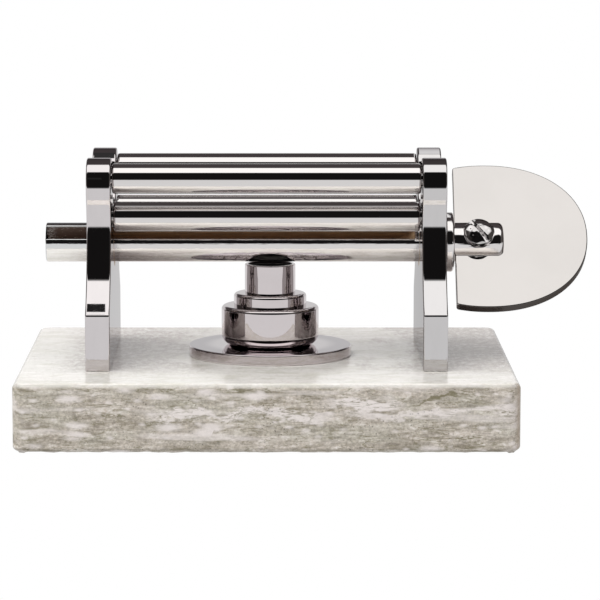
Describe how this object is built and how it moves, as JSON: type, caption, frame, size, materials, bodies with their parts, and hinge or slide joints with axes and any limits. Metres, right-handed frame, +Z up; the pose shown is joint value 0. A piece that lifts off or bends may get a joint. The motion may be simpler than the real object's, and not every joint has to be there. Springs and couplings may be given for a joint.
{
  "type": "roller tube squeezer",
  "caption": "Tube squeezer: a slotted shaft with a D-shaped key under a funnel of rollers, between chromed side plates on a marble slab, with a flanged tube cap.",
  "frame": {"origin": "centre of the non-slip sheet's underside, on the surface that the slab stands on", "axes": "+X along the winding shaft towards the key, +Y to the back, +Z up"},
  "size_m": [0.1177, 0.0806, 0.0571],
  "materials": {
    "marble": "honed pale grey-green marble with fine horizontal veins, polished top",
    "non_slip": "matt, milky white silicone",
    "plate_chrome": "mirror-polished chrome plate",
    "roller_chrome": "mirror-polished chrome plate",
    "bush_plastic": "black acetal",
    "bush_bronze": "sintered bronze, oiled",
    "shaft_chrome": "polished chrome plate, milled slot left dull and brownish",
    "key_steel": "flat mirror polish",
    "screw_chrome": "polished, lightly hammered by turning",
    "cap_chrome": "polished chrome plate",
    "insert_plastic": "dark moulded polypropylene",
    "liner_foam": "white foamed polyethylene",
    "fastener_steel": "zinc-plated"
  },
  "bodies": {
    "frame": {"marble_base": "marble", "non_slip_sheet": "non_slip", "left_side_plate": "plate_chrome", "right_side_plate": "plate_chrome", "front_top_left_bush": "bush_plastic", "back_top_left_bush": "bush_plastic", "front_lower_left_bush": "bush_plastic", "back_lower_left_bush": "bush_plastic", "front_top_right_bush": "bush_plastic", "back_top_right_bush": "bush_plastic", "front_lower_right_bush": "bush_plastic", "back_lower_right_bush": "bush_plastic", "left_shaft_bush": "bush_bronze", "right_shaft_bush": "bush_bronze", "left_plate_screws": "fastener_steel", "right_plate_screws": "fastener_steel", "left_screw_washers": "fastener_steel", "right_screw_washers": "fastener_steel"},
    "front_top_roller": {"front_top_roller": "roller_chrome"},
    "back_top_roller": {"back_top_roller": "roller_chrome"},
    "front_lower_roller": {"front_lower_roller": "roller_chrome"},
    "back_lower_roller": {"back_lower_roller": "roller_chrome"},
    "washer": {"thrust_washer": "bush_plastic"},
    "winder": {"winding_shaft": "shaft_chrome", "key_plate": "key_steel", "key_screw": "screw_chrome"},
    "cap": {"cap_shell": "cap_chrome", "cap_thread_insert": "insert_plastic", "cap_liner": "liner_foam"}
  },
  "joints": [
    {"name": "front_top_roller_spin", "type": "hinge", "parent": "frame", "child": "front_top_roller", "pos_m": [0, -0.0121, 0.0527], "axis": [1, 0, 0], "continuous": true},
    {"name": "back_top_roller_spin", "type": "hinge", "parent": "frame", "child": "back_top_roller", "pos_m": [0, 0.0121, 0.0527], "axis": [1, 0, 0], "continuous": true},
    {"name": "front_lower_roller_spin", "type": "hinge", "parent": "frame", "child": "front_lower_roller", "pos_m": [0, -0.0071, 0.04435], "axis": [1, 0, 0], "continuous": true},
    {"name": "back_lower_roller_spin", "type": "hinge", "parent": "frame", "child": "back_lower_roller", "pos_m": [0, 0.0071, 0.04435], "axis": [1, 0, 0], "continuous": true},
    {"name": "shaft_pull", "type": "slide", "parent": "frame", "child": "washer", "axis": [1, 0, 0], "range_m": [0, 0.085]},
    {"name": "winder_spin", "type": "hinge", "parent": "washer", "child": "winder", "pos_m": [0, 0, 0.0382], "axis": [1, 0, 0], "continuous": true},
    {"name": "cap_slide", "type": "slide", "parent": "frame", "child": "cap", "axis": [0, -1, 0], "range_m": [-0.022, 0.022]}
  ]
}
